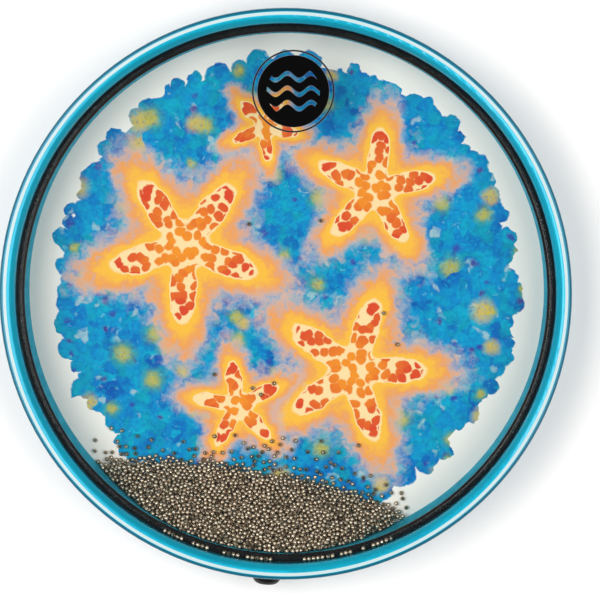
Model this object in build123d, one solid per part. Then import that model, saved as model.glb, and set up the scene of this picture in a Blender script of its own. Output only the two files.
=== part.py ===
from build123d import *
import os
from math import cos, floor, hypot, radians, sin, sqrt

# Shell, in millimetres and degrees, with its back on z = 0 and its axis on Z
overall_diameter = 254.0  # across the rolled rim
overall_depth = 38.0  # from the back face to the crest of the rim
sheet = 1.0  # steel sheet
roll_radius = 1.5  # outside of the rolled edge
roll_turn = 210.0  # how far the edge rolls over, past the crest
crest_width = 1.7  # flat land on top of the rim
crest_bend = 2.4  # front of the bend from the crest down into the cone
throat_width = 3.6  # from the inside of the wall out to the crest
throat_slope = 50.0  # steepness of the cone below the crest
throat_bend = 3.0  # front of the bend from the wall into the cone
flange_width = 6.9  # in-turned back edge, from the outside of the wall
flange_bend = 1.6  # inside radius of the back bend

# Heads and the rings between them
film = 0.25  # both heads
head_recess = 6.5  # clear head below the crest of the rim
liner_wall = 3.7
liner_edge = 0.6  # round on the liner's front edges
cushion_diameter = 3.6
seat_depth = 0.6  # groove that the cushion lies in

# Filler plug in the side wall
plug_angle = 266.1  # from +X, towards +Y
plug_land = 3.0  # liner left between the plug's hole and the front edge
plug_head_diameter = 13.1
plug_head_length = 10.3
plug_dome = 4.2  # round of the plug's outer end
plug_foot = 0.8  # round of the head's inner edge
plug_stem_diameter = 9.0
plug_recess = 0.5  # stem's end, back from the liner's inner face
plug_lead = 0.6  # chamfer on the stem's end

# Clearances
slip_fit = 0.1  # pieces pushed or glued into each other
run_clearance = 0.3  # rolling beads, to the walls round them
rest_clearance = 0.15  # rolling beads, to what they lie on

# Beads
bead_diameter = 2.0
bead_bore = 0.9  # hole through each bead
stray_tilt = 35.0  # most that the hole of a bead lying loose leans over
pile_pitch = 2.3  # between neighbours of one layer
pile_layers = 2
pile_angle = 260.3  # direction of the middle of the pile
pile_half_angle = 38.8  # from there to the pile's ends on the wall
pile_width = 33.7  # from the wall to the pile's edge, at its middle
layer_step_back = 20.0  # each layer's edge, back from the layer below
edge_stray_count = 14
edge_stray_band = 12.0  # how far they lie in front of the pile
edge_stray_half_span = 52.0
centre_stray_count = 8
centre_stray_reach = 56.0  # radius that holds them
rim_bead_step = 1.45  # degrees between beads caught at the rim
rim_left_start = 243.2
rim_left_count = 15
rim_right_start = 273.8
rim_right_count = 11

golden_ratio = (sqrt(5) - 1) / 2
silver_ratio = sqrt(2) - 1
full_tilt = 180.0  # beads in a heap lean any way

# Shell sizes that follow
rim_r = overall_diameter / 2 - roll_radius
rim_z = overall_depth - roll_radius
crest_r = rim_r - crest_width
crest_z = overall_depth - crest_bend
wall_inner_r = crest_r - throat_width
wall_outer_r = wall_inner_r + sheet
flange_r = wall_outer_r - flange_width
throat_r = wall_inner_r + throat_bend
throat_face = radians(90 + throat_slope)  # way that the cone's front faces
throat_rise = (crest_r - throat_r) * cos(throat_face) + crest_bend - throat_bend
throat_z = crest_z + throat_rise / sin(throat_face)  # where the cone's line meets both bends

# The beads' path under the clear head, and the rings below it
bead_r = bead_diameter / 2
cushion_r = cushion_diameter / 2
clear_under_z = overall_depth - head_recess - film
cushion_ring_r = wall_inner_r - slip_fit - cushion_r
rim_bead_r = wall_inner_r - run_clearance - bead_r
rim_bead_z = clear_under_z - rest_clearance - bead_r
cushion_reach = cushion_r + rest_clearance + bead_r
cushion_z = rim_bead_z - sqrt(cushion_reach**2 - (rim_bead_r - cushion_ring_r) ** 2)

# The printed head lies on the back flange, and the liner presses on it
printed_r = wall_inner_r - flange_bend - slip_fit
liner_outer_r = wall_inner_r - slip_fit
liner_inner_r = liner_outer_r - liner_wall
liner_bottom_z = sheet + film
liner_top_z = cushion_z - cushion_r + seat_depth
plug_hole_r = plug_stem_diameter / 2 + slip_fit
plug_z = liner_top_z - plug_land - plug_hole_r

# Floor of the chamber, where the beads roll
bead_floor_z = liner_bottom_z + rest_clearance + bead_r
bead_reach_r = liner_inner_r - run_clearance - bead_r


def spin(outline):
    """Turn a closed outline of radius and height into a solid round Z."""
    return revolve(Plane.XZ * make_face(outline), Axis.Z)


def make_printed_head():
    """Film disc, held between the back flange and the liner."""
    return Pos(0, 0, sheet) * extrude(Circle(printed_r), film)


def make_clear_head():
    """Film disc with its edge folded up into a collar, which is bonded inside the wall."""
    outer_r = wall_inner_r - slip_fit
    inner_r = outer_r - film
    with BuildLine() as outline:
        Polyline(
            (0, clear_under_z),
            (outer_r, clear_under_z),
            (outer_r, throat_z),
            (inner_r, throat_z),
            (inner_r, clear_under_z + film),
            (0, clear_under_z + film),
            close=True,
        )
    return spin(outline.edges())


def on_plug_axis(radius):
    """Plane across the plug's axis, at a radius, facing outwards."""
    turn = radians(plug_angle)
    out = (cos(turn), sin(turn), 0)
    return Plane(
        origin=(radius * out[0], radius * out[1], plug_z),
        x_dir=(0, 0, 1),
        z_dir=out,
    )


def plug_hole():
    """The hole for the plug's stem, through the shell and the liner."""
    bottom = liner_inner_r - liner_wall
    return extrude(on_plug_axis(bottom) * Circle(plug_hole_r), wall_outer_r + sheet - bottom)


def on_arc(centre, radius, angle):
    """The point of an arc at an angle in radians."""
    return (centre[0] + radius * cos(angle), centre[1] + radius * sin(angle))


def make_shell():
    """Sheet turned in at the back, flared in front to a flat crest and rolled over outwards."""
    rim = (rim_r, rim_z)
    crest = (crest_r, crest_z)
    throat = (throat_r, throat_z)
    face_angle = 90 + throat_slope
    flare = 90 - throat_slope
    roll_end = 90 - roll_turn
    inside_z = overall_depth - sheet
    inside_roll = roll_radius - sheet
    inside_crest = crest_bend - sheet
    inside_throat = throat_bend - sheet
    end = radians(roll_end)
    with BuildLine() as outline:
        FilletPolyline(
            (flange_r, 0),
            (wall_outer_r, 0),
            (wall_outer_r, throat_z),
            radius=flange_bend + sheet,
        )
        CenterArc(throat, inside_throat, 180, -flare)
        Line(on_arc(throat, inside_throat, throat_face), on_arc(crest, inside_crest, throat_face))
        CenterArc(crest, inside_crest, face_angle, -throat_slope)
        Line((crest_r, inside_z), (rim_r, inside_z))
        CenterArc(rim, inside_roll, 90, -roll_turn)
        Line(on_arc(rim, inside_roll, end), on_arc(rim, roll_radius, end))
        CenterArc(rim, roll_radius, roll_end, roll_turn)
        Line((rim_r, overall_depth), (crest_r, overall_depth))
        CenterArc(crest, crest_bend, 90, throat_slope)
        Line(on_arc(crest, crest_bend, throat_face), on_arc(throat, throat_bend, throat_face))
        CenterArc(throat, throat_bend, face_angle, flare)
        FilletPolyline(
            (wall_inner_r, throat_z),
            (wall_inner_r, sheet),
            (flange_r, sheet),
            radius=flange_bend,
        )
        Line((flange_r, sheet), (flange_r, 0))
    return spin(outline.edges()) - plug_hole()


def make_liner_ring():
    """Ring with a groove in front for the cushion, and its back corner round as the shell's bend."""
    with BuildLine() as outline:
        FilletPolyline(
            (liner_inner_r, liner_bottom_z),
            (liner_outer_r, liner_bottom_z),
            (liner_outer_r, liner_top_z),
            radius=flange_bend,
        )
        Polyline(
            (liner_outer_r, liner_top_z),
            (liner_inner_r, liner_top_z),
            (liner_inner_r, liner_bottom_z),
        )
    ring = spin(outline.edges())
    front_edges = ring.edges().filter_by(GeomType.CIRCLE).group_by(Axis.Z)[-1]
    ring = fillet(front_edges, min(liner_edge, seat_depth))
    groove = Torus(cushion_ring_r, cushion_r + slip_fit)
    return ring - Pos(0, 0, cushion_z) * groove - plug_hole()


def make_filler_plug():
    """Rubber stopper: a domed head to grip and a stem through the wall."""
    seat_r = wall_outer_r + slip_fit
    head = extrude(on_plug_axis(seat_r) * Circle(plug_head_diameter / 2), plug_head_length)
    rings = head.edges().sort_by(lambda edge: hypot(edge.center().X, edge.center().Y))
    inner_edge, outer_edge = rings[0], rings[-1]
    head = fillet(outer_edge, plug_dome)
    head = fillet(head.edges().sort_by_distance(inner_edge.center())[0], plug_foot)
    stem_r = liner_inner_r + plug_recess
    stem = extrude(on_plug_axis(stem_r) * Circle(plug_stem_diameter / 2), seat_r - stem_r)
    end = stem.edges().sort_by(lambda edge: hypot(edge.center().X, edge.center().Y))[0]
    return head + chamfer(end, plug_lead)


def beads_at(places, most_tilt):
    """A group of separate pierced beads, one at each place, with their holes leaning all ways."""
    bead = (Sphere(bead_r) - Cylinder(bead_bore / 2, bead_diameter)).solid()
    beads = []
    for number, place in enumerate(places):
        lean = most_tilt * (number * golden_ratio % 1)
        turn = 360 * (number * silver_ratio % 1)
        beads.append(bead.moved(Location(place) * Rotation(0, 0, turn) * Rotation(lean, 0, 0)))
    return Compound(beads)


def from_pile(out, across, height):
    """A place given by its distance towards the pile's middle and across that line."""
    turn = radians(pile_angle)
    return (
        out * cos(turn) - across * sin(turn),
        out * sin(turn) + across * cos(turn),
        height,
    )


# The pile's edge is an arc through its two ends on the wall and its inmost point
pile_end_out = bead_reach_r * cos(radians(pile_half_angle))
pile_end_across = bead_reach_r * sin(radians(pile_half_angle))
pile_edge_out = liner_inner_r - pile_width
pile_bulge = pile_end_out - pile_edge_out
pile_edge_radius = (pile_bulge**2 + pile_end_across**2) / (2 * pile_bulge)
pile_edge_centre = pile_edge_out + pile_edge_radius


def pile_layer(layer):
    """Beads on a triangular lattice, each layer in the hollows of the one below."""
    row_step = pile_pitch * sqrt(3) / 2
    lift = sqrt((bead_diameter + rest_clearance / 2) ** 2 - pile_pitch**2 / 3)
    height = bead_floor_z + layer * lift
    edge_radius = pile_edge_radius - layer * layer_step_back
    rows = floor(pile_width / row_step) + 2
    half_count = floor(pile_end_across / pile_pitch) + 2
    places = []
    for row in range(rows):
        for column in range(-half_count, half_count + 1):
            out = bead_reach_r - row * row_step - layer * row_step / 3
            across = (column + (row + layer) % 2 / 2) * pile_pitch
            on_head = hypot(out, across) <= bead_reach_r
            in_pile = hypot(pile_edge_centre - out, across) <= edge_radius - bead_r
            if on_head and in_pile:
                places.append(from_pile(out, across, height))
    return beads_at(places, full_tilt)


def edge_strays():
    """Loose beads in front of the pile, evenly spread along it and unevenly far out."""
    step = 2 * edge_stray_half_span / edge_stray_count
    places = []
    for number in range(edge_stray_count):
        across = step * (number + 0.5) - edge_stray_half_span
        edge_out = pile_edge_centre - sqrt(pile_edge_radius**2 - across**2)
        ahead = bead_diameter + edge_stray_band * (number * golden_ratio % 1)
        places.append(from_pile(edge_out - ahead, across, bead_floor_z))
    return beads_at(places, stray_tilt)


def centre_strays():
    """Loose beads scattered over the middle of the head."""
    places = []
    for number in range(centre_stray_count):
        reach = centre_stray_reach * sqrt((number + 0.5) / centre_stray_count)
        turn = radians(360 * golden_ratio * number)
        places.append((reach * cos(turn), reach * sin(turn), bead_floor_z))
    return beads_at(places, stray_tilt)


def rim_beads(start, count):
    """Beads caught in the channel between the cushion, the rim and the clear head."""
    places = []
    for number in range(count):
        turn = radians(start + rim_bead_step * number)
        places.append((rim_bead_r * cos(turn), rim_bead_r * sin(turn), rim_bead_z))
    return beads_at(places, full_tilt)


nodes = {
    "shell": make_shell(),
    "liner_ring": make_liner_ring(),
    "printed_head": make_printed_head(),
    "cushion_ring": Pos(0, 0, cushion_z) * Torus(cushion_ring_r, cushion_r),
    "clear_head": make_clear_head(),
    "filler_plug": make_filler_plug(),
    "edge_strays": edge_strays(),
    "centre_strays": centre_strays(),
    "rim_beads_left": rim_beads(rim_left_start, rim_left_count),
    "rim_beads_right": rim_beads(rim_right_start, rim_right_count),
}
for layer in range(pile_layers):
    nodes[f"bead_layer_{layer + 1}"] = pile_layer(layer)

os.makedirs("parts", exist_ok=True)
for name, shape in nodes.items():
    export_step(shape, f"parts/{name}.step")
    print(name, len(shape.solids()), "solids", round(shape.volume, 1), "mm3")
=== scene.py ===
import bpy
import math
import numpy as np
from mathutils import Matrix, Vector


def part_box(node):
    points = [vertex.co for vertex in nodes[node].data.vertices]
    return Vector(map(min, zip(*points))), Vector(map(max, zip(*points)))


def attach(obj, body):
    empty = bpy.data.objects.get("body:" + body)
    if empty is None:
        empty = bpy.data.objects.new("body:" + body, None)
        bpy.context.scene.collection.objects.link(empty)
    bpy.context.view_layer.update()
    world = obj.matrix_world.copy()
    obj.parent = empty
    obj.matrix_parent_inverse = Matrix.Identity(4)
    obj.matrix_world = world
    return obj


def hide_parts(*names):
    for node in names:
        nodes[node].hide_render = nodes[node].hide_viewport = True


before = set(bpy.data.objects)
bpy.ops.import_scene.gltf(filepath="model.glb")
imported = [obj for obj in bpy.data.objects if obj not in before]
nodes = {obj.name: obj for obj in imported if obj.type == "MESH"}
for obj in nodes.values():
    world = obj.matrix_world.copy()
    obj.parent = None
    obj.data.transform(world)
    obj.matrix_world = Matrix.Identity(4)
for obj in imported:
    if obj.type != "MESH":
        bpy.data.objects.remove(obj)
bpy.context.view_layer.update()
mm = 0.001

# the drum's own sizes, from the frame
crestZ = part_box("shell")[1].z
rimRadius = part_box("shell")[1].x
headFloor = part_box("liner_ring")[0].z  # front of the printed head
linerWall = 3.7 * mm  # the ring's own thickness, which its box doesn't give
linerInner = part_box("liner_ring")[1].x - linerWall
rimBeadZ = sum(corner.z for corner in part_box("rim_beads_left")) / 2
print("frame loaded: rim radius", round(rimRadius, 4), "crest", round(crestZ, 4))


class Wire:
    # one output socket of a shader tree; maths on it adds nodes
    def __init__(self, tree, socket=None):
        self.tree = tree
        self.socket = socket

    def node(self, kind, settings, values, out=0):
        made = self.tree.nodes.new(kind)
        for name, value in settings.items():
            if name == "stops":
                ramp = made.color_ramp
                while len(ramp.elements) < len(value):
                    ramp.elements.new(1.0)
                for element, (place, colour) in zip(ramp.elements, value):
                    element.position = place
                    element.color = colour
            else:
                setattr(made, name, value)
        for name, value in values.items():
            if isinstance(value, Wire):
                self.tree.links.new(value.socket, made.inputs[name])
            else:
                made.inputs[name].default_value = value
        return Wire(self.tree, made.outputs[out])

    def other(self, out):  # another output of the same node
        return Wire(self.tree, self.socket.node.outputs[out])

    def math(self, operation, *others):
        return self.node("ShaderNodeMath", {"operation": operation}, dict(enumerate((self, *others))))

    def turned(self, operation, first):  # the number comes first
        return self.node("ShaderNodeMath", {"operation": operation}, {0: first, 1: self})

    def __add__(self, other):
        return self.math("ADD", other)

    def __sub__(self, other):
        return self.math("SUBTRACT", other)

    def __mul__(self, other):
        return self.math("MULTIPLY", other)

    def __truediv__(self, other):
        return self.math("DIVIDE", other)

    def __lt__(self, other):
        return self.math("LESS_THAN", other)

    def __gt__(self, other):
        return self.math("GREATER_THAN", other)

    def __rsub__(self, other):
        return self.turned("SUBTRACT", other)

    def __rtruediv__(self, other):
        return self.turned("DIVIDE", other)

    __radd__ = __add__
    __rmul__ = __mul__

    def step(self, low, high):  # 0 below low, 1 above high, smooth between
        return self.node(
            "ShaderNodeMapRange",
            {"interpolation_type": "SMOOTHSTEP"},
            {"Value": self, "From Min": low, "From Max": high},
        )

    def edge(self, place, feather):  # 0 below the place, 1 above it
        return self.step(place - feather, place + feather)

    def mix(self, first, second, blend="MIX"):  # this value is the factor
        settings = {"data_type": "RGBA", "blend_type": blend}
        return self.node("ShaderNodeMix", settings, {0: self, 6: first, 7: second}, out=2)

    def ramp(self, *stops):
        return self.node("ShaderNodeValToRGB", {"stops": stops}, {"Fac": self})

    def noise(self, scale, detail=2.0, out="Fac"):  # this is a place
        values = {"Vector": self, "Scale": scale, "Detail": detail}
        return self.node("ShaderNodeTexNoise", {}, values, out=out)

    def cells(self, scale, out="Distance", **settings):  # this is a place
        return self.node("ShaderNodeTexVoronoi", settings, {"Vector": self, "Scale": scale}, out=out)

    def vector(self, operation, *others, out=0):
        values = dict(enumerate((self, *others)))
        return self.node("ShaderNodeVectorMath", {"operation": operation}, values, out=out)

    def parts(self):
        x = self.node("ShaderNodeSeparateXYZ", {}, {0: self})
        return x, x.other(1), x.other(2)


def newFinish(name, sockets):
    # a material with its constant sockets set; gives the shader and a place to build nodes from
    material = bpy.data.materials.new(name)
    material.use_nodes = True
    tree = material.node_tree
    shader = tree.nodes["Principled BSDF"]
    for socket, value in sockets.items():
        shader.inputs[socket].default_value = value
    place = Wire(tree).node("ShaderNodeTexCoord", {}, {}, out="Object")
    return material, shader, place


def plugIn(wire, shader, socket):
    wire.tree.links.new(wire.socket, shader.inputs[socket])


def bumpOn(height, shader, strength, distance):
    values = {"Strength": strength, "Distance": distance, "Height": height}
    plugIn(height.node("ShaderNodeBump", {}, values), shader, "Normal")


def dress(piece, material):
    piece.data.materials.clear()
    piece.data.materials.append(material)


def clearSelection():
    if bpy.context.mode != "OBJECT":
        bpy.ops.object.mode_set(mode="OBJECT")
    bpy.ops.object.select_all(action="DESELECT")


# the shell's metallic blue, with painted shade on the outer roll and a painted highlight on the crest
# land
shellPaint = {
    "sockets": {"Coat Weight": 0.7, "Coat Roughness": 0.05, "Coat IOR": 1.45, "Specular IOR Level": 0.2},
    "deep": (0.0, 0.34, 0.50, 1),
    "light": (0.0, 0.46, 0.64, 1),
    "shaded": (0.0, 0.13, 0.215, 1),  # painted shade on the outer roll
    # painted highlight: a pale colour on the crest land, standing for the lamps' reflection there
    "highlightColour": (0.54, 0.66, 0.66, 1),
    "landOuter": rimRadius - 1.75 * mm,
    "landInner": rimRadius - 3.1 * mm,
    "landBand": (crestZ - 0.35 * mm, crestZ - 0.15 * mm),
    "feather": 0.12 * mm,
    "rollFade": 0.3 * mm,
    "rollShade": 0.9,
    "flake": 2600.0,  # cells per metre
    "flakeShare": 0.55,
    "drift": (30.0, 3.0),  # patches per metre, detail
    "driftBand": (0.25, 0.75),
    # noise that breaks up the painted highlight's strength
    "highlightBreakup": (420.0, 3.0),
    "highlightLeast": 0.93,
    "highlightSpan": 0.14,
    "metallic": 0.4,
    "landMetallic": 0.1,
    "roughness": 0.42,
    "flakeRoughness": 0.1,
    "ripple": (160.0, 2.0),
    "rippleBump": (0.015, 0.2 * mm),  # strength, height
}


def paintFinish():
    look = shellPaint
    material, shader, place = newFinish("metallicBlue", look["sockets"])
    x, y, z = place.parts()
    radius = (x * x + y * y).math("SQRT")
    flakes = place.cells(look["flake"], out="Color").parts()[0]
    drift = place.noise(*look["drift"]).step(*look["driftBand"])
    tone = drift * (1 - look["flakeShare"]) + flakes * look["flakeShare"]
    roll = radius.step(look["landOuter"], look["landOuter"] + look["rollFade"])
    paint = tone.mix(look["deep"], look["light"])
    # painted shade: past the crest land the roll's paint is mixed towards a deeper blue
    paint = (roll * look["rollShade"]).mix(paint, look["shaded"])
    inner = radius.edge(look["landInner"], look["feather"])
    outer = 1 - radius.edge(look["landOuter"], look["feather"])
    land = inner * outer * z.step(*look["landBand"])
    # painted highlight: the crest land takes a pale colour and less metal, patchy by noise
    crestHighlight = land * (look["highlightLeast"] + place.noise(*look["highlightBreakup"]) * look["highlightSpan"])
    plugIn(crestHighlight.math("MINIMUM", 1.0).mix(paint, look["highlightColour"]), shader, "Base Color")
    plugIn(look["metallic"] - land * (look["metallic"] - look["landMetallic"]), shader, "Metallic")
    plugIn(look["roughness"] + flakes * look["flakeRoughness"], shader, "Roughness")
    bumpOn(place.noise(*look["ripple"]), shader, *look["rippleBump"])
    return material


# the gloss inner ring
linerGloss = {
    "sockets": {
        "Metallic": 0.3,
        "Roughness": 0.24,
        "Specular IOR Level": 0.0,
        "Specular Tint": (0.1, 0.7, 0.85, 1),
    },
    "deep": (0.02, 0.38, 0.53, 1),
    "light": (0.05, 0.48, 0.64, 1),
    "stretch": (1.0, 1.0, 0.15),  # streaks run up the wall
    "streak": (220.0, 3.0),  # patches per metre, detail
    "streakBand": (0.3, 0.7),
    "ripple": (90.0, 2.0),
    "rippleBump": (0.05, 0.3 * mm),  # strength, height
}


def linerFinish():
    look = linerGloss
    material, shader, place = newFinish("linerGloss", look["sockets"])
    stretched = place.vector("MULTIPLY", look["stretch"])
    streaks = stretched.noise(*look["streak"]).step(*look["streakBand"])
    plugIn(streaks.mix(look["deep"], look["light"]), shader, "Base Color")
    bumpOn(stretched.noise(*look["ripple"]), shader, *look["rippleBump"])
    return material


# black rubber of the cushion ring and the plug
rubber = {
    "sockets": {"Specular IOR Level": 0.2},
    "dark": (0.003, 0.0035, 0.004, 1),
    "dusty": (0.009, 0.0095, 0.0095, 1),
    "cushionRoughness": 0.13,
    "plugRoughness": 0.42,
    "dust": (260.0, 4.0),  # patches per metre, detail
    "dustBand": (0.35, 0.75),
    "dustRoughness": 0.06,
    "grain": (1400.0, 3.0),
    "grainBump": (0.015, 0.05 * mm),  # strength, height
}


def rubberFinish(name, roughness):
    look = rubber
    material, shader, place = newFinish(name, look["sockets"])
    dust = place.noise(*look["dust"]).step(*look["dustBand"])
    plugIn(dust.mix(look["dark"], look["dusty"]), shader, "Base Color")
    plugIn(roughness + dust * look["dustRoughness"], shader, "Roughness")
    bumpOn(place.noise(*look["grain"]), shader, *look["grainBump"])
    return material


for node, finish in (
    ("shell", paintFinish()),
    ("liner_ring", linerFinish()),
    ("cushion_ring", rubberFinish("cushionRubber", rubber["cushionRoughness"])),
    ("filler_plug", rubberFinish("plugRubber", rubber["plugRoughness"])),
):
    dress(nodes[node], finish)
print("finishes on the shell, liner, cushion and plug")


# the head's watercolour print: a round blue wash of dabs, with warm starfish on it
washPrint = {
    "sockets": {"Roughness": 0.5, "Specular IOR Level": 0.04},
    "centre": (-0.3 * mm, 1.6 * mm, 0.0),
    "reach": 104.0 * mm,
    "underReach": 100.5 * mm,
    "frontSkin": 0.1 * mm,
    "showThrough": 0.1,  # share of the print that shows at the back
    "paper": (0.83, 0.795, 0.73, 1),
    "grain": (2400.0, 2.0),  # patches per metre, detail
    "grainBump": (0.06, 0.05 * mm),  # strength, height
    "loose": (170.0, 3.5 * mm),  # bends per metre, and how far they carry the paint
    "brushed": (300.0, 1.8 * mm),
    "ragged": (300.0, 9.0 * mm),
    "blues": (
        (0.0, (0.0, 0.075, 0.36, 1)),
        (0.18, (0.0, 0.17, 0.48, 1)),
        (0.42, (0.0, 0.255, 0.54, 1)),
        (0.66, (0.0, 0.32, 0.53, 1)),
        (0.86, (0.0, 0.28, 0.38, 1)),
        (1.0, (0.0, 0.42, 0.57, 1)),
    ),
    "under": (40.0, 3.0, (0.3, 0.7)),  # patches per metre, detail, band
    "coats": (  # offset, dabs per metre, dab size in cells, strength
        ((0.0, 0.0, 0.0), 98.0, 0.56, 0.9),
        ((0.031, 0.017, 0.0), 122.0, 0.53, 0.8),
        ((0.013, 0.047, 0.0), 160.0, 0.5, 0.65),
    ),
    "dabEdge": (-0.05, 0.03),  # bands round the dab's size, in cells
    "dabFade": (-0.22, 0.0),
    "dabRimBand": (-0.25, -0.06),
    "dabRim": (0.0, 0.12, 0.45, 1),
    "dabRimShade": 0.35,
    "bloom": (150.0, 4.0, (0.42, 0.72), 0.55),  # patches per metre, detail, band, strength
    "bloomTone": (80.0, 2.0, (0.36, 0.64)),
    "flecks": (125.0, 2.0, (0.63, 0.71), 0.72, (0.40, 0.55, 0.55, 1)),  # bare paper
    "dots": (  # offset, cells per metre, share left out, size in cells, colour
        ((0.05, 0.02, 0.0), 70.0, 0.50, 0.15, (0.035, 0.04, 0.32, 1)),
        ((0.02, 0.07, 0.0), 54.0, 0.60, 0.11, (0.07, 0.03, 0.22, 1)),
        ((0.09, 0.04, 0.0), 54.0, 0.52, 0.30, (0.10, 0.33, 0.14, 1)),
        ((0.09, 0.04, 0.0), 54.0, 0.52, 0.19, (0.50, 0.42, 0.07, 1)),
        ((0.04, 0.11, 0.0), 44.0, 0.60, 0.24, (0.66, 0.46, 0.05, 1)),
    ),
    "dotSpan": (0.6, 0.7),  # least size of a dot, and how much it can gain
    "dotFade": (0.25, 1.15),
    "dotStrength": 0.85,
    "pools": (420.0, 3.0, (0.45, 0.75), 0.4, (0.45, 0.66, 0.82, 1)),
    "mottles": (  # a band from high to low takes what is under it
        (560.0, 4.0, (0.52, 0.7), 0.55, (0.0, 0.38, 0.56, 1)),
        (560.0, 4.0, (0.48, 0.3), 0.5, (0.0, 0.12, 0.38, 1)),
        (330.0, 4.0, (0.64, 0.74), 0.6, (0.16, 0.50, 0.60, 1)),
    ),
}


def wander(place, flat, bends, reach):
    # the place carried about by soft noise, so that painted edges aren't clean
    drift = flat.noise(bends, out="Color").vector("SUBTRACT", (0.5, 0.5, 0.5))
    return place.vector("ADD", drift.vector("MULTIPLY", (reach, reach, 0.0)))


def stain(colour, place, scale, detail, band, strength, tint, blend="MIX"):
    # patches of another tint, where soft noise is past a band
    patches = place.noise(scale, detail).step(*band) * strength
    return patches.mix(colour, tint, blend)


def blueTone(place, scale, detail, band):
    return place.noise(scale, detail).step(*band).ramp(*washPrint["blues"])


def dabLayer(place, offset, scale):
    # round dabs: how far from the dab's middle, and its own random numbers
    distance = place.vector("ADD", offset).cells(scale, voronoi_dimensions="2D")
    return distance, distance.other("Color").parts()


def blueWash(flat, brushed):
    # an under wash and three coats of dabs, whole dabs at the border
    look = washPrint
    colour = blueTone(flat, *look["under"])
    field = flat.vector("DISTANCE", look["centre"], out="Value") < look["underReach"]
    for offset, scale, size, strength in look["coats"]:
        distance, chances = dabLayer(brushed, offset, scale)
        middle = distance.other("Position").vector("SUBTRACT", offset)
        own = middle.vector("DISTANCE", look["centre"], out="Value") < look["reach"]
        past = distance - size
        field = field.math("MAXIMUM", own * (1 - past.step(*look["dabEdge"])))
        body = (1 - past.step(*look["dabFade"])) * strength
        rim = past.step(*look["dabRimBand"]) * look["dabRimShade"]
        dab = rim.mix(chances[0].ramp(*look["blues"]), look["dabRim"], "MULTIPLY")
        colour = body.mix(colour, dab)
    colour = stain(colour, brushed, *look["bloom"], blueTone(brushed, *look["bloomTone"]))
    return colour, field


def speckle(colour, brushed, ragged):
    # bare flecks of paper, violet dots and yellow dabs, then pools and mottles of wet paint
    look = washPrint
    colour = stain(colour, brushed, *look["flecks"])
    least, gain = look["dotSpan"]
    for offset, scale, share, size, tint in look["dots"]:
        distance, chances = dabLayer(brushed, offset, scale)
        reach = chances[2] * (size * gain) + size * least
        dot = (1 - (distance / reach).step(*look["dotFade"])) * (chances[0] > share)
        colour = (dot * look["dotStrength"]).mix(colour, tint)
    colour = stain(colour, ragged, *look["pools"], "MULTIPLY")
    for mottle in look["mottles"]:
        colour = stain(colour, brushed, *mottle)
    return colour


# warm starfish with a glow of peach, yellow and orange round each
starfish = {
    "places": (  # across, up and arm reach in mm, turn in radians
        (-46.0, 20.0, 38.0, 0.35),
        (40.0, 46.0, 30.0, 1.05),
        (30.0, -36.0, 36.0, 0.0),
        (-22.0, -52.0, 22.0, 0.8),
        (-10.0, 74.0, 17.0, 0.2),
    ),
    "arms": 5,
    "body": 0.30,  # shares of the reach
    "arm": 0.62,
    "taper": 3.0,
    "blot": (190.0, 3.0, (0.2, 0.8), 0.3),  # patches per metre, detail, band, strength
    "glow": (  # share of the blot, band, strength, colour
        (1.0, (-0.58, -0.18), 0.85, (0.55, 0.44, 0.42, 1)),
        (1.0, (-0.38, -0.06), 1.0, (0.80, 0.32, 0.09, 1)),
        (0.6, (-0.2, 0.02), 1.0, (0.88, 0.47, 0.05, 1)),
        (0.0, (-0.035, 0.01), 1.0, (0.90, 0.66, 0.33, 1)),
    ),
    "chips": 230.0,
    "chipInset": (0.02, 0.05),
    "chipFade": (0.42, 0.58),
    "chipSpan": 0.22,
    "chipRun": 0.9,
    "chipBand": (0.1, 0.9),
    "orange": (0.83, 0.27, 0.02, 1),
    "red": (0.66, 0.06, 0.02, 1),
}


def starMask(place, across, up, reach, turn):
    # above 0 in a star, falling outwards; and the way out along its arms
    look = starfish
    x, y = place.vector("SUBTRACT", (across * mm, up * mm, 0.0)).parts()[:2]
    away = (x * x + y * y).math("SQRT") / (reach * mm)
    angle = y.math("ARCTAN2", x) + turn
    arm = (angle * (look["arms"] / 2)).math("COSINE").math("ABSOLUTE")
    return look["body"] + arm.math("POWER", look["taper"]) * look["arm"] - away, away


def addStarfish(colour, loose, ragged):
    look = starfish
    chips = loose.cells(look["chips"], voronoi_dimensions="2D")
    ownTone = chips.other("Color").parts()[1] * look["chipSpan"]
    scale, detail, band, strength = look["blot"]
    blot = ragged.noise(scale, detail).step(*band) * strength
    for across, up, reach, turn in look["places"]:
        body, out = starMask(loose, across, up, reach, turn)
        for share, glowBand, glowStrength, tint in look["glow"]:
            colour = ((body + blot * share).step(*glowBand) * glowStrength).mix(colour, tint)
        patches = body.step(*look["chipInset"]) * (1 - chips.step(*look["chipFade"]))
        warmth = (out * look["chipRun"] + ownTone).step(*look["chipBand"])
        colour = patches.mix(colour, warmth.mix(look["orange"], look["red"]))
    return colour


def printFinish():
    look = washPrint
    material, shader, place = newFinish("washPrint", look["sockets"])
    flat = place.vector("MULTIPLY", (1.0, 1.0, 0.0))
    loose = wander(flat, flat, *look["loose"])
    brushed = wander(loose, flat, *look["brushed"])
    ragged = wander(loose, flat, *look["ragged"])
    colour, field = blueWash(flat, brushed)
    colour = speckle(colour, brushed, ragged)
    colour = addStarfish(colour, loose, ragged)
    front = place.parts()[2] > headFloor - look["frontSkin"]
    shown = field * (look["showThrough"] + front * (1 - look["showThrough"]))
    plugIn(shown.mix(look["paper"], colour), shader, "Base Color")
    bumpOn(flat.noise(*look["grain"]), shader, *look["grainBump"])
    return material


dress(nodes["printed_head"], printFinish())
print("printed head painted")


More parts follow.
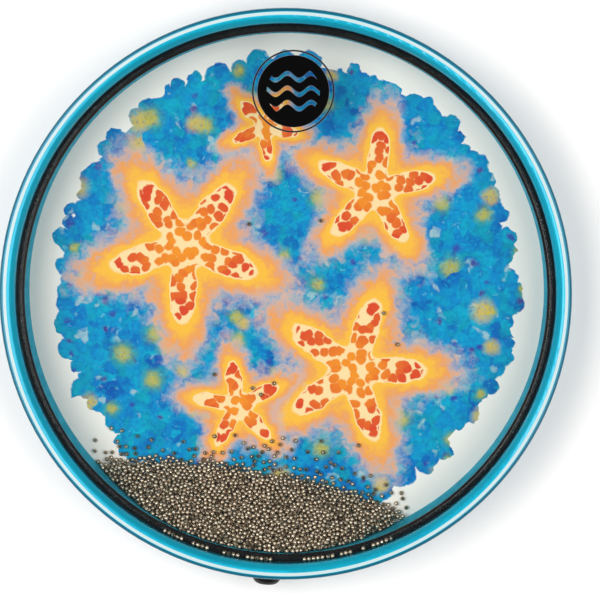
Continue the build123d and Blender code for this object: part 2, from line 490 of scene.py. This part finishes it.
# clear film with a plain black roundel printed near its edge
clearFilm = {
    "sockets": {"Specular IOR Level": 0.12},
    "roundel": (3.4 * mm, 90.15 * mm, 0.0),
    "disc": 16.0 * mm,
    "ringInner": 17.6 * mm,
    "ringOuter": 18.3 * mm,
    "feather": 0.12 * mm,
    "waves": 3,
    "waveStep": 6.4 * mm,
    "waveHeight": 1.5 * mm,
    "waveLength": 10.5 * mm,
    "waveWidth": 1.0 * mm,
    "waveReach": 11.8 * mm,
    "ink": (0.002, 0.002, 0.0022, 1),
    "sheen": (0.95, 0.96, 0.97, 1),
    "passed": (0.995, 1.0, 1.0, 1),  # light that goes straight through
    "dust": (700.0, 3.0),  # patches per metre, detail
    "dustBand": (0.6, 0.9),
    "dustGloss": 0.004,
    "roughness": 0.04,
    "dustRoughness": 0.05,
    "gloss": 0.02,
    "edgeGloss": 0.8,
    "edgePower": 5.0,
    "edgeBlend": 0.5,
}


def roundelInk(place):
    # 1 where the film is printed black: a disc in a thin ring, with even waves left clear in the disc
    look = clearFilm
    x, y = place.vector("SUBTRACT", look["roundel"]).parts()[:2]
    away = (x * x + y * y).math("SQRT")
    disc = 1 - away.edge(look["disc"], look["feather"])
    ring = away.edge(look["ringInner"], look["feather"])
    ring = ring * (1 - away.edge(look["ringOuter"], look["feather"]))
    pitch = look["waveStep"]
    swell = y + (x * (2 * math.pi / look["waveLength"])).math("SINE") * look["waveHeight"]
    offLine = ((swell / pitch + 0.5).math("FRACT") * pitch - pitch / 2).math("ABSOLUTE")
    line = 1 - offLine.edge(look["waveWidth"], look["feather"])
    line = line * (swell.math("ABSOLUTE") < look["waves"] / 2 * pitch) * (away < look["waveReach"])
    return (disc * (1 - line) + ring).math("MINIMUM", 1.0)


def filmFinish():
    look = clearFilm
    material, shader, place = newFinish("clearFilm", look["sockets"])
    ink = roundelInk(place)
    dust = place.noise(*look["dust"])
    plugIn(ink.mix(look["sheen"], look["ink"]), shader, "Base Color")
    plugIn(1 - ink, shader, "Metallic")
    plugIn(look["roughness"] + dust * look["dustRoughness"], shader, "Roughness")
    facing = place.node("ShaderNodeLayerWeight", {}, {"Blend": look["edgeBlend"]}, out="Facing")
    gloss = look["gloss"] + facing.math("POWER", look["edgePower"]) * look["edgeGloss"]
    gloss = gloss + dust.step(*look["dustBand"]) * look["dustGloss"]
    seen = (ink + (1 - ink) * gloss).math("MINIMUM", 1.0)
    clear = place.node("ShaderNodeBsdfTransparent", {}, {"Color": look["passed"]})
    both = place.node("ShaderNodeMixShader", {}, {0: seen, 1: clear})
    tree = place.tree
    tree.links.new(shader.outputs[0], both.socket.node.inputs[2])
    tree.links.new(both.socket, tree.nodes["Material Output"].inputs["Surface"])
    return material


dress(nodes["clear_head"], filmFinish())
print("clear head printed")


# loose beads: warm nickelled steel, each a little different
beadMetal = {
    "sockets": {"Metallic": 1.0},
    "dark": (0.36, 0.28, 0.19, 1),
    "bright": (0.72, 0.62, 0.48, 1),
    "smear": (900.0, 2.0),  # patches per metre, detail
    "smearShare": 0.25,
    "roughness": 0.36,
    "smearRoughness": 0.14,
}


def beadFinish():
    look = beadMetal
    material, shader, place = newFinish("beadMetal", look["sockets"])
    ownTone = place.node("ShaderNodeAttribute", {"attribute_name": "beadTone"}, {}, out="Fac")
    smear = place.noise(*look["smear"])
    tone = ownTone * (1 - look["smearShare"]) + smear * look["smearShare"]
    plugIn(tone.mix(look["dark"], look["bright"]), shader, "Base Color")
    plugIn(look["roughness"] + smear * look["smearRoughness"], shader, "Roughness")
    return material


# one pierced bead, then heaps of copies of it
beadShape = {
    "radius": 1.0 * mm,
    "bore": 0.45 * mm,  # the hole's radius
    "sides": 10,
    "rings": 8,
    "capAngle": math.radians(30),  # what lies nearer the poles is cut off
    "smoothAngle": math.radians(50),
    "seed": 7,
}
beadRadius = beadShape["radius"]


def modelBead():
    form = beadShape
    clearSelection()
    bpy.ops.mesh.primitive_uv_sphere_add(
        segments=form["sides"], ring_count=form["rings"], radius=beadRadius
    )
    bead = bpy.context.object
    bead.name = "beadPattern"
    bpy.ops.object.mode_set(mode="EDIT")
    bpy.ops.mesh.select_all(action="DESELECT")
    bpy.ops.object.mode_set(mode="OBJECT")
    for vertex in bead.data.vertices:  # the caps go, where the hole breaks through
        vertex.select = abs(vertex.co.z) > beadRadius * math.cos(form["capAngle"])
    bpy.ops.object.mode_set(mode="EDIT")
    bpy.ops.mesh.delete(type="VERT")
    bpy.ops.mesh.select_all(action="DESELECT")
    bpy.ops.mesh.select_non_manifold()
    bpy.ops.mesh.bridge_edge_loops()
    bpy.ops.mesh.select_all(action="SELECT")
    bpy.ops.mesh.normals_make_consistent(inside=False)
    bpy.ops.object.mode_set(mode="OBJECT")
    rim = max(v.co.z for v in bead.data.vertices)
    height = math.sqrt(beadRadius**2 - form["bore"] ** 2)
    for vertex in bead.data.vertices:  # the end rings move in to the hole's edge
        if abs(abs(vertex.co.z) - rim) < 1e-6:
            reach = math.hypot(vertex.co.x, vertex.co.y)
            vertex.co.x *= form["bore"] / reach
            vertex.co.y *= form["bore"] / reach
            vertex.co.z = math.copysign(height, vertex.co.z)
    clearSelection()
    bead.select_set(True)
    bpy.context.view_layer.objects.active = bead
    bpy.ops.object.shade_smooth_by_angle(angle=form["smoothAngle"])
    return bead


def anyTurns(count, rng, lean):
    # turning matrices with the hole leaning at most this far from upright
    tilt = np.arccos(1 - rng.random(count) * (1 - math.cos(lean)))
    spin = rng.random(count) * 2 * math.pi
    roll = rng.random(count) * 2 * math.pi
    made = np.zeros((count, 3, 3))
    for i in range(count):
        leant = Matrix.Rotation(spin[i], 3, "Z") @ Matrix.Rotation(tilt[i], 3, "X")
        made[i] = np.array(leant @ Matrix.Rotation(roll[i], 3, "Z"))
    return made


def beadHeap(name, bead, places, rng, lean, body, material, node, paintedLightFloor=0.0):
    # one mesh of copies of the bead, each turned its own way and with its own tone
    corners = np.array([v.co for v in bead.data.vertices])
    faces = [list(p.vertices) for p in bead.data.polygons]
    turns = anyTurns(len(places), rng, lean)
    points = np.einsum("nij,vj->nvi", turns, corners) + places[:, None, :]
    allFaces = [[v + n * len(corners) for v in face] for n in range(len(places)) for face in faces]
    mesh = bpy.data.meshes.new(name)
    mesh.from_pydata(points.reshape(-1, 3).tolist(), [], allFaces)
    mesh.polygons.foreach_set("use_smooth", [True] * len(allFaces))
    sharp = {tuple(sorted(e.vertices)): e.use_edge_sharp for e in bead.data.edges}
    flags = []
    for edge in mesh.edges:
        flags.append(sharp[tuple(sorted(v % len(corners) for v in edge.vertices))])
    mesh.edges.foreach_set("use_edge_sharp", flags)
    tone = mesh.attributes.new("beadTone", "FLOAT", "POINT")
    # a tone floor above 0 lifts every bead's colour; for the rim row this is painted light
    tones = paintedLightFloor + (1 - paintedLightFloor) * rng.random(len(places))
    tone.data.foreach_set("value", np.repeat(tones, len(corners)).astype(np.float32))
    heap = bpy.data.objects.new(name, mesh)
    bpy.context.scene.collection.objects.link(heap)
    dress(heap, material)
    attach(heap, body)
    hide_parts(node)
    print(name, len(places), "beads,", len(allFaces), "faces")


# the pile against the lower wall
pile = {
    "angle": math.radians(260.3),
    "halfAngle": math.radians(38.8),
    "width": 33.7 * mm,
    "wallHeight": 33.0 * mm,  # where the slope would meet the wall
    "topHeight": 24.6 * mm,  # where it is levelled off
    "slope": 0.85,
    "count": 6700,
    "batch": 20000,
    "skin": 5.6 * mm,  # depth of the beads that are kept
    "gap": 0.06 * mm,
    "rounds": 240,
    "relist": 4,  # rounds between two looks for neighbours
    "nearby": 2.6 * beadRadius,
    "pushShare": 0.42,
}
beadFloor = headFloor + beadRadius + pile["gap"]  # middle of a bead that lies on the head


def pileDepth(points):
    # how far a place lies behind the pile's front edge, an arc through both ends on the wall
    out = np.array([math.cos(pile["angle"]), math.sin(pile["angle"])])
    side = np.array([-out[1], out[0]])
    endOut = linerInner * math.cos(pile["halfAngle"])
    endSide = linerInner * math.sin(pile["halfAngle"])
    edge = linerInner - pile["width"]
    bulge = endOut - edge
    arc = (bulge**2 + endSide**2) / (2 * bulge)
    return arc - np.hypot(edge + arc - points[:, :2] @ out, points[:, :2] @ side)


def pileTop(points):
    # height of the slope over the head: none at the front edge, level at the black ring
    depth = np.maximum(pileDepth(points), 0.0) / pile["width"]
    return np.minimum(pile["wallHeight"] * depth ** pile["slope"], pile["topHeight"])


def keepInPile(points):
    reach = np.hypot(points[:, 0], points[:, 1])
    limit = linerInner - beadRadius - pile["gap"]
    points[:, :2] *= np.minimum(1.0, limit / np.maximum(reach, 1e-9))[:, None]
    points[:, 2] = np.clip(points[:, 2], beadFloor, beadFloor + pileTop(points))


def neighbourPairs(points):
    # pairs that share a cell or lie in cells side by side
    key = np.floor(points / pile["nearby"]).astype(np.int64)
    key -= key.min(0) - 1
    size = key.max(0) + 3
    index = (key[:, 0] * size[1] + key[:, 1]) * size[2] + key[:, 2]
    order = np.argsort(index, kind="stable")
    ranked = index[order]
    sides = (-1, 0, 1)
    shifts = [(dx * size[1] + dy) * size[2] + dz for dx in sides for dy in sides for dz in sides]
    firsts = []
    seconds = []
    for shift in shifts:
        if shift < 0:
            continue
        low = np.searchsorted(ranked, index + shift, "left")
        count = np.searchsorted(ranked, index + shift, "right") - low
        total = int(count.sum())
        one = np.repeat(np.arange(len(points)), count)
        start = np.repeat(low - np.r_[0, np.cumsum(count)[:-1]], count)
        two = order[start + np.arange(total)]
        keep = one < two if shift == 0 else np.ones(total, bool)
        firsts.append(one[keep])
        seconds.append(two[keep])
    return np.concatenate(firsts), np.concatenate(seconds)


def dropBeads(rng):
    # places at random under the slope
    places = np.zeros((0, 3))
    while len(places) < pile["count"]:
        across = rng.uniform(-linerInner, linerInner, pile["batch"])
        along = rng.uniform(-linerInner, 0.0, pile["batch"])
        up = rng.uniform(0.0, pile["wallHeight"], pile["batch"])
        trial = np.column_stack((across, along, up))
        inside = (np.hypot(across, along) < linerInner - beadRadius) & (pileDepth(trial) > 0)
        inside &= up < pileTop(trial)
        places = np.vstack((places, trial[inside]))
    places = places[: pile["count"]]
    places[:, 2] += headFloor + beadRadius
    return places


def settlePile(rng):
    # the dropped beads are pushed apart until almost none overlap;
    # the ones deep inside, which nothing shows, are left out
    places = dropBeads(rng)
    for turn in range(pile["rounds"]):
        if turn % pile["relist"] == 0:
            one, two = neighbourPairs(places)
        apart = places[two] - places[one]
        length = np.maximum(np.linalg.norm(apart, axis=1), 1e-9)
        push = np.maximum(2 * beadRadius + pile["gap"] - length, 0.0) * pile["pushShare"]
        shove = apart * (push / length)[:, None]
        for axis in range(3):
            places[:, axis] += np.bincount(two, shove[:, axis], len(places))
            places[:, axis] -= np.bincount(one, shove[:, axis], len(places))
        keepInPile(places)
    one, two = neighbourPairs(places)
    overlap = np.maximum(2 * beadRadius - np.linalg.norm(places[two] - places[one], axis=1), 0.0) / mm
    deep = int((overlap > 0.1).sum())
    print("pile settled: overlap at most", round(overlap.max(), 3), "mm, over 0.1 mm in", deep, "pairs")
    buried = headFloor + beadRadius + pileTop(places) - places[:, 2]
    return places[buried < pile["skin"]]


# beads lying loose: most of them just in front of the pile
strays = {
    "edgeCount": 95,
    "edgeReach": 4.2 * mm,
    "across": (-90 * mm, 60 * mm),
    "along": (-105 * mm, -40 * mm),
    "nearest": 0.2 * mm,
    "farthest": 34 * mm,
    "thickest": 3.0 * mm,
    "spread": 26.0 * mm,
    "sparse": 0.2,
    "midCount": 8,
    "midRadius": 56.0 * mm,
    "lean": math.radians(40),
}


def apartFrom(taken, trial):
    if len(taken) == 0:
        return True
    return np.min(np.linalg.norm(np.array(taken) - trial, axis=1)) > 2 * beadRadius + pile["gap"]


def edgeStrays(rng, heap):
    near = heap[heap[:, 2] < headFloor + 4 * beadRadius]
    edge = []
    while len(edge) < strays["edgeCount"]:
        spot = np.array([rng.uniform(*strays["across"]), rng.uniform(*strays["along"]), beadFloor])
        ahead = -pileDepth(spot[None, :])[0]
        if not strays["nearest"] < ahead < strays["farthest"]:
            continue
        if np.hypot(*spot[:2]) > linerInner - 2 * beadRadius:
            continue
        middling = math.exp(-(((spot[0] - strays["thickest"]) / strays["spread"]) ** 2))
        wanted = strays["sparse"] + (1 - strays["sparse"]) * middling
        if rng.random() > math.exp(-ahead / strays["edgeReach"]) * wanted:
            continue
        if apartFrom(near, spot) and apartFrom(edge, spot):
            edge.append(spot)
    return np.array(edge)


def centreStrays(rng, edge):
    middle = []
    while len(middle) < strays["midCount"]:
        reach = strays["midRadius"] * math.sqrt(rng.random())
        turn = rng.random() * 2 * math.pi
        spot = np.array([reach * math.cos(turn), reach * math.sin(turn), beadFloor])
        if apartFrom(edge, spot) and apartFrom(middle, spot):
            middle.append(spot)
    return np.array(middle)


# the row caught between the cushion and the clear head, in uneven runs; turns are in degrees
rimRow = {
    "radius": 118.9 * mm,
    "left": (243.0, 265.6),
    "right": (274.0, 291.6),
    "step": 0.985,
    "longest": 5,
    "break": 3.2,
    # painted light: the rim row's beads get lighter tones, for the light that reaches them near the
    # throat
    "paintedLightFloor": 0.6,
}


def rimRun(rng, start, end):
    places = []
    turn = start
    while turn < end:
        for number in range(rng.integers(1, rimRow["longest"] + 1)):
            angle = math.radians(turn)
            across = rimRow["radius"] * math.cos(angle)
            along = rimRow["radius"] * math.sin(angle)
            places.append((across, along, rimBeadZ))
            turn += rimRow["step"]
        turn += rimRow["break"] * rng.random()
    return np.array(places)


def layBeads():
    rng = np.random.default_rng(beadShape["seed"])
    bead = modelBead()
    metal = beadFinish()
    heap = settlePile(rng)
    edge = edgeStrays(rng, heap)
    middle = centreStrays(rng, edge)
    allWays = math.pi
    bottom = heap[:, 2] < np.median(heap[:, 2])
    beadHeap("pileLow", bead, heap[bottom], rng, allWays, "pile", metal, "bead_layer_1")
    beadHeap("pileHigh", bead, heap[~bottom], rng, allWays, "pile", metal, "bead_layer_2")
    beadHeap("edgeStrays", bead, edge, rng, strays["lean"], "pile", metal, "edge_strays")
    beadHeap("centreStrays", bead, middle, rng, strays["lean"], "strays", metal, "centre_strays")
    for side in ("left", "right"):
        run = rimRun(rng, *rimRow[side])
        name = "rimBeads" + side.title()
        node = "rim_beads_" + side
        beadHeap(name, bead, run, rng, allWays, "rim_row", metal, node, rimRow["paintedLightFloor"])
    bpy.data.objects.remove(bead)


layBeads()
print("beads laid")


# a pale floor that the camera sees as white, with the drum's shadow on it
studioFloor = {
    "size": 9.0,
    "squares": 8,
    "height": -0.2 * mm,
    "sockets": {
        "Base Color": (0.94, 0.9, 0.88, 1),
        "Roughness": 0.9,
        "Specular IOR Level": 0.0,
        "Emission Strength": 1.0,
    },
    "lift": 0.11,  # glow near the drum, for the camera alone
    "fade": (0.35, 2.2),  # metres from the drum; all white past it
}


def layFloor():
    look = studioFloor
    clearSelection()
    bpy.ops.mesh.primitive_grid_add(
        x_subdivisions=look["squares"],
        y_subdivisions=look["squares"],
        size=look["size"],
        location=(0, 0, look["height"]),
    )
    floor = bpy.context.object
    floor.name = "studioFloor"
    material, shader, place = newFinish("studioFloor", look["sockets"])
    seen = place.node("ShaderNodeLightPath", {}, {}, out="Is Camera Ray")
    rays = seen
    for kind in ("Is Glossy Ray", "Is Transmission Ray"):
        seen = seen.math("MAXIMUM", rays.other(kind))
    away = place.vector("LENGTH", out="Value").step(*look["fade"])
    glow = seen * (look["lift"] + away * (1 - look["lift"]))
    plugIn(glow.mix((0, 0, 0, 1), (1, 1, 1, 1)), shader, "Emission Color")
    dress(floor, material)


lamps = {  # place, size across and along, watts
    "leftBox": ((-0.74, 0.10, 1.52), (1.0, 1.3), 22.6),
    "rightBox": ((0.76, -0.06, 1.48), (1.0, 1.3), 15.0),
}
sky = {"colour": (1, 1, 1, 1), "strength": 0.18}


def lookAt(place, aim):
    # turned so that the view goes from the place to the aim, with +Y up in the picture
    back = (Vector(place) - Vector(aim)).normalized()
    across = Vector((0, 1, 0)).cross(back).normalized()
    return Matrix((across, back.cross(across), back)).transposed().to_euler()


def hangLamps():
    for name, (place, size, watts) in lamps.items():
        clearSelection()
        bpy.ops.object.light_add(type="AREA", location=place)
        lamp = bpy.context.object
        lamp.name = name
        lamp.data.shape = "RECTANGLE"
        lamp.data.size, lamp.data.size_y = size
        lamp.data.energy = watts
        lamp.rotation_euler = lookAt(place, (0.0, 0.0, 0.0))
        lamp.visible_camera = False
    world = bpy.context.scene.world or bpy.data.worlds.new("studio")
    bpy.context.scene.world = world
    world.use_nodes = True
    background = world.node_tree.nodes["Background"]
    background.inputs["Color"].default_value = sky["colour"]
    background.inputs["Strength"].default_value = sky["strength"]


cameraSet = {
    "place": (0.022, 0.090, 1.7356),
    "aim": (0.00642, -0.00234, 0.0356),
    "lens": 230.25,
    "sensor": 36.0,
    "nearest": 0.05,
}


def setCamera():
    clearSelection()
    bpy.ops.object.camera_add(location=cameraSet["place"])
    camera = bpy.context.object
    camera.rotation_euler = lookAt(cameraSet["place"], cameraSet["aim"])
    camera.data.lens = cameraSet["lens"]
    camera.data.sensor_width = cameraSet["sensor"]
    camera.data.clip_start = cameraSet["nearest"]
    bpy.context.scene.camera = camera


layFloor()
hangLamps()
setCamera()
bpy.context.scene.view_settings.view_transform = "Standard"
print("floor, lamps and camera set")
